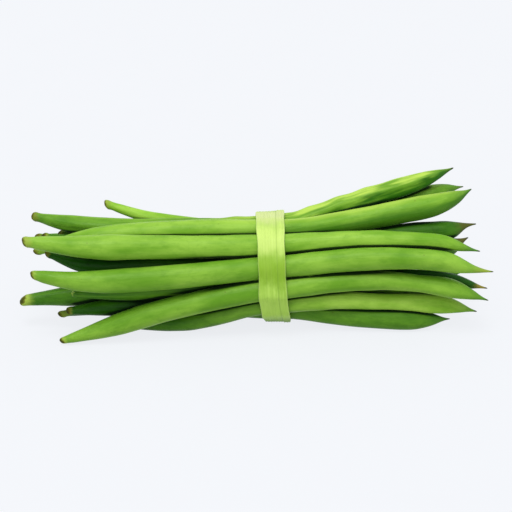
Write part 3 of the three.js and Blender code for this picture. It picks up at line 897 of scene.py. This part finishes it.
def green(nodes, look, flow, along, mottle):
    """The mottled green of a pod's body, and the palest green in it."""
    shade = {}
    # Each pod goes from bright to dark green, partly its own tone and partly painted shade.
    for title in ("pale", "body", "deep"):
        start, end = (between_colours(*SKIN[title], tone_and_shade) for tone_and_shade in look["tone_and_shade"])
        shade[title] = nodes.mixed(nodes.between(along, 0.15, 0.75), start, end)
    patches = nodes.noise(flow, (0.05, 0.16, 0.16), 3.0, 0.55)
    clouds = nodes.noise(flow, (0.22, 0.40, 0.40), 3.0, 0.6)
    streaks = nodes.noise(flow, (0.10, 1.3, 1.3), 3.0, 0.6)
    streaky = 0.12 + 4 * look["ridges"]
    pale = nodes.between(patches, 0.30, 0.70, 0.1, 0.7)
    colour = nodes.mixed(pale, shade["body"], shade["pale"])
    for deep in (
        nodes.between(clouds, 0.46, 0.72, 0.0, 0.28),
        nodes.between(streaks, 0.45, 0.75, 0.0, streaky),
        nodes.between(mottle, 0.50, 0.78, 0.0, 0.20),
    ):
        colour = nodes.mixed(deep, colour, shade["deep"])
    return colour, shade["pale"]


def painted_sun_and_shade(nodes, look, flow, along, off_seam, colour):
    """Painted light and shade: a painted lit yellow along the seam, set on a pod's top, and
    painted shade in deep green on the side away from it.
    """
    strength = nodes.between(along, 0.35, 0.60, 0.0, look["sun_and_shade"])
    drift = nodes.math("SUBTRACT", nodes.noise(flow, (0.07, 0.55, 0.55), 2.0, 0.5), 0.5)
    uneven = nodes.math("MULTIPLY_ADD", drift, 1.0 + 45 * look["ridges"], off_seam)
    sunny = nodes.math("MULTIPLY", nodes.between(uneven, 0.2, 1.10, 1.0, 0.0), strength)
    colour = nodes.mixed(sunny, colour, linear(*SKIN["sun"]))
    shady = nodes.math("MULTIPLY", nodes.between(uneven, 1.05, 2.1), strength)
    return nodes.mixed(shady, colour, linear(*SKIN["shade"]))


def specked(nodes, flow, colour):
    """A few small brown specks."""
    cells = nodes.filled("TexVoronoi", Vector=nodes.scaled(flow, (0.22, 0.30, 0.30)), Scale=1.0)
    chosen = nodes.between(nodes.split(cells.outputs["Color"])[0], 0.62, 0.70, 0.0, 0.6)
    speck = nodes.between(cells.outputs["Distance"], 0.03, 0.075, 1.0, 0.0)
    return nodes.mixed(nodes.math("MULTIPLY", speck, chosen), colour, linear(*SKIN["brown"]))


def stalk_end(nodes, look, from_cut, stray, colour):
    """Yellow towards the cut, which is brown. Gives the colour, and how scarred each spot is."""
    ragged = nodes.math("MULTIPLY_ADD", stray, 3.0, from_cut)
    band = nodes.between(ragged, look["band"] * 0.55, look["band"] * 1.7, 0.9, 0.0)
    colour = nodes.mixed(band, colour, between_colours(*SKIN["stalk"], look["rust"]))
    fine = nodes.math("MULTIPLY_ADD", stray, 1.6, from_cut)
    worn = 0.1 + 1.2 * look["scar"]
    strength = 0.92 * min(1.0, 2 * look["scar"])
    scar = nodes.between(fine, 0.3 * worn, 1.1 * worn, strength, 0.0)
    colour = nodes.mixed(scar, colour, linear(*SKIN["brown"]))
    core = nodes.between(fine, -0.1, 0.5 * worn, 0.9 * strength, 0.0)
    return nodes.mixed(core, colour, linear(*SKIN["dark"])), scar


def beak_end(nodes, look, from_tip, stray, colour):
    """Darker towards the tip, then dry, with a dark point."""
    ragged = nodes.math("MULTIPLY_ADD", stray, 4.0, from_tip)
    dark = nodes.between(ragged, 1.5, 11.0, 0.5, 0.0)
    colour = nodes.mixed(dark, colour, linear(*SKIN["tip"]))
    dry = nodes.between(ragged, look["dry"] * 0.6, look["dry"] * 1.8, look["wear"], 0.0)
    colour = nodes.mixed(dry, colour, linear(*BEAKS[look["beak"]]))
    fine = nodes.math("MULTIPLY_ADD", stray, 1.2, from_tip)
    point = nodes.between(fine, 0.3, 1.5, 0.85, 0.0)
    return nodes.mixed(point, colour, linear(*SKIN["dark"]))


def skin_material(name, look):
    """The skin of one pod: streaked and mottled green, yellow at the stalk, dark at the tip."""
    nodes = Nodes(name)
    flow = nodes.attribute("flow")
    from_cut, from_tip, turn = nodes.split(nodes.attribute("marks"))
    along = nodes.math("DIVIDE", from_cut, nodes.math("ADD", from_cut, from_tip))
    off_seam = nodes.math("ABSOLUTE", turn)
    mottle = nodes.noise(flow, (0.9, 1.2, 1.2), 4.0, 0.65)
    colour, pale = green(nodes, look, flow, along, mottle)
    # Painted light on a pod's top and painted shade on its lower side.
    colour = painted_sun_and_shade(nodes, look, flow, along, off_seam, colour)

    # Where its neighbours hide it, a pod gets painted shade: a near black green stands in for the
    # shadow in the gaps. Its seam is a paler line.
    crowded = nodes.split(nodes.attribute("crowd"))[0]
    painted_gap_shade = nodes.between(crowded, 0.32, 0.52, 0.0, 0.94)
    colour = nodes.mixed(painted_gap_shade, colour, linear(*SKIN["gap"]))
    colour = nodes.mixed(nodes.between(off_seam, 0.04, 0.16, 0.55, 0.0), colour, pale)

    colour = specked(nodes, flow, colour)
    stray = nodes.math("SUBTRACT", nodes.noise(flow, (0.35, 1.1, 1.1), 3.0, 0.5), 0.5)
    colour, scar = stalk_end(nodes, look, from_cut, stray, colour)
    colour = beak_end(nodes, look, from_tip, stray, colour)

    ribs = nodes.noise(flow, (0.06, 2.2, 2.2), 2.0, 0.5)
    grain = nodes.noise(flow, (1.6, 3.2, 3.2), 3.0, 0.6)
    ribbed = nodes.filled("Bump", Height=ribs, Strength=0.35, Distance=0.25 * MM)
    grained = nodes.filled(
        "Bump",
        Height=grain, Strength=0.30, Distance=0.12 * MM, Normal=ribbed.outputs[0],
    )
    gloss = nodes.between(mottle, 0.3, 0.7, 0.36, 0.48)
    dull = nodes.math("MULTIPLY", nodes.math("MAXIMUM", scar, painted_gap_shade), 0.45)
    return nodes.finish(nodes.filled(
        "BsdfPrincipled",
        Base_Color=colour,
        Roughness=nodes.math("ADD", gloss, dull),
        Normal=grained.outputs[0],
        Specular_IOR_Level=0.14,
        Sheen_Weight=0.05,
        Sheen_Roughness=0.4,
        Sheen_Tint=linear(*SKIN["sheen"]),
    ))


def leaf_material():
    """Pale leaf with fibres along it and a fold, with painted light and shade: a pale painted
    highlight where it turns over the top and painted shade underneath.
    """
    nodes = Nodes("leaf_strip_skin")
    flow = nodes.attribute("flow")
    share, side, _ = nodes.split(nodes.attribute("marks"))
    tint = {title: linear(*colour) for title, colour in LEAF.items()}
    fibres = nodes.noise(flow, (3.2, 0.10, 1.0), 4.0, 0.6)
    broad = nodes.noise(flow, (0.7, 0.05, 1.0), 2.0, 0.5)
    cloud = nodes.noise(flow, (0.25, 0.16, 1.0), 3.0, 0.55)
    colour = nodes.mixed(nodes.between(cloud, 0.3, 0.7), tint["green"], tint["yellow"])
    colour = nodes.mixed(nodes.between(fibres, 0.48, 0.75, 0.0, 0.4), colour, tint["fibre"])
    colour = nodes.mixed(nodes.between(broad, 0.50, 0.72, 0.0, 0.35), colour, tint["broad"])

    # The zones paint light and shade round the strip, besides its own greener stretch.
    uneven = nodes.math("MULTIPLY_ADD", nodes.math("SUBTRACT", cloud, 0.5), 24.0, side)
    for start, end, strength, zone_colour in LEAF_ZONES_AND_LIGHT:
        fade = 0.3 * (end - start)
        rise = nodes.between(uneven, start - fade, start + fade, 0.0, strength)
        fall = nodes.between(uneven, end - fade, end + fade, 1.0, 0.0)
        colour = nodes.mixed(nodes.math("MULTIPLY", rise, fall), colour, linear(*zone_colour))

    off_fold = nodes.math("ABSOLUTE", nodes.math("SUBTRACT", share, FOLD_AT))
    colour = nodes.mixed(nodes.between(off_fold, 0.006, 0.035, 0.32, 0.0), colour, tint["fold"])
    off_middle = nodes.math("ABSOLUTE", share)
    colour = nodes.mixed(nodes.between(off_middle, 0.46, 0.5, 0.0, 0.3), colour, tint["edge"])
    ribbed = nodes.filled("Bump", Height=fibres, Strength=0.55, Distance=0.25 * MM)
    return nodes.finish(nodes.filled(
        "BsdfPrincipled",
        Base_Color=colour,
        Roughness=nodes.between(fibres, 0.3, 0.7, 0.42, 0.56),
        Normal=ribbed.outputs[0],
        Specular_IOR_Level=0.2,
        Sheen_Weight=0.05,
        Sheen_Roughness=0.5,
    ))


def floor_material():
    """Pale paint that mostly glows, so that it looks even, and keeps a soft shadow."""
    nodes = Nodes("floor_paint")
    colour = linear(*FLOOR_COLOUR)
    grain = nodes.noise(nodes.add("TexCoord").outputs["Object"], (40.0, 40.0, 40.0), 3.0, 0.5)
    path = nodes.add("LightPath").outputs
    seen = nodes.math("ADD", path["Is Camera Ray"], path["Is Glossy Ray"])
    seen = nodes.math("ADD", seen, path["Is Transmission Ray"])
    seen = nodes.math("MINIMUM", seen, 1.0)
    level = nodes.between(grain, 0.3, 0.7, 0.985, 1.0)
    share = nodes.math("MULTIPLY", level, nodes.between(seen, 0.0, 1.0, FLOOR_BOUNCE, FLOOR_PAINT))
    tint = nodes.add("VectorMath", operation="SCALE")
    nodes.put(tint.inputs[0], colour[:3])
    nodes.put(tint.inputs["Scale"], share)
    paint = nodes.filled("BsdfDiffuse", Color=tint.outputs[0])
    glow = nodes.filled(
        "Emission",
        Color=colour, Strength=nodes.math("MULTIPLY", seen, FLOOR_GLOW),
    )
    both = nodes.add("AddShader")
    nodes.put(both.inputs[0], paint.outputs[0])
    nodes.put(both.inputs[1], glow.outputs[0])
    return nodes.finish(both)


# ---------------------------------------------------------------- the pieces

pods = {node: build_pod(node, look_of(node), order) for order, node in enumerate(PODS, 1)}
strip_rings, strip_flow, strip_marks = build_strip(pods)
tree = solids_tree([pod["rings"][::VIEW_COARSE, ::VIEW_COARSE] for pod in pods.values()])
for node, pod in pods.items():
    look = look_of(node)
    name = node.replace("bean", "pod")
    crowd = np.repeat(crowding(pod, tree)[:, :, None], 3, 2)
    attributes = {"flow": pod["flow"], "marks": pod["marks"], "crowd": crowd}
    piece = make_piece(name, pod["rings"], attributes, skin_material(name + "_skin", look))
    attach(piece, "root")
    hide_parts(node)

attributes = {"flow": strip_flow, "marks": strip_marks}
strip = make_piece("leaf_strip", strip_rings, attributes, leaf_material())
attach(strip, "root")
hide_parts("leaf_tie")

# ---------------------------------------------------------------- floor, light and camera
# Lengths are in metres from here on.

FLOOR_HALF = 6.0
WORLD_STRENGTH = 0.92
LAMP_PLACE = Vector((-0.3, -0.75, 2.3))  # from the middle of the bundle
LAMP_SIZE = 0.9
LAMP_POWER = 29.5
CAMERA_LENS = 150
CAMERA_DISTANCE = 0.725
CAMERA_ELEVATION = math.radians(30)
AIM_OFFSET = Vector((0.00055, -0.0025, -0.00065))

scene = bpy.context.scene
centre = (cad_low + cad_high) / 2


def placed(data, place, aim):
    """A lamp or a camera at a place, turned towards another."""
    thing = bpy.data.objects.new(data.name, data)
    thing.location = place
    thing.rotation_euler = (aim - place).to_track_quat("-Z", "Y").to_euler()
    scene.collection.objects.link(thing)
    return thing


floor_mesh = bpy.data.meshes.new("floor")
square = ((-1, -1), (1, -1), (1, 1), (-1, 1))
corners = [(FLOOR_HALF * x, FLOOR_HALF * y, cad_low.z) for x, y in square]
floor_mesh.from_pydata(corners, [], [(0, 1, 2, 3)])
floor_mesh.materials.append(floor_material())
floor = bpy.data.objects.new("floor", floor_mesh)
scene.collection.objects.link(floor)

world = bpy.data.worlds.new("studio")
world.use_nodes = True
background = world.node_tree.nodes["Background"]
background.inputs["Color"].default_value = linear(*FLOOR_COLOUR)
background.inputs["Strength"].default_value = WORLD_STRENGTH
scene.world = world

lamp = bpy.data.lights.new("top", "AREA")
lamp.size = LAMP_SIZE
lamp.energy = LAMP_POWER
placed(lamp, centre + LAMP_PLACE, centre)

camera = bpy.data.cameras.new("camera")
camera.lens = CAMERA_LENS
aim = centre + AIM_OFFSET
back = Vector((0, -math.cos(CAMERA_ELEVATION), math.sin(CAMERA_ELEVATION)))
scene.camera = placed(camera, aim + CAMERA_DISTANCE * back, aim)
scene.view_settings.view_transform = "Standard"
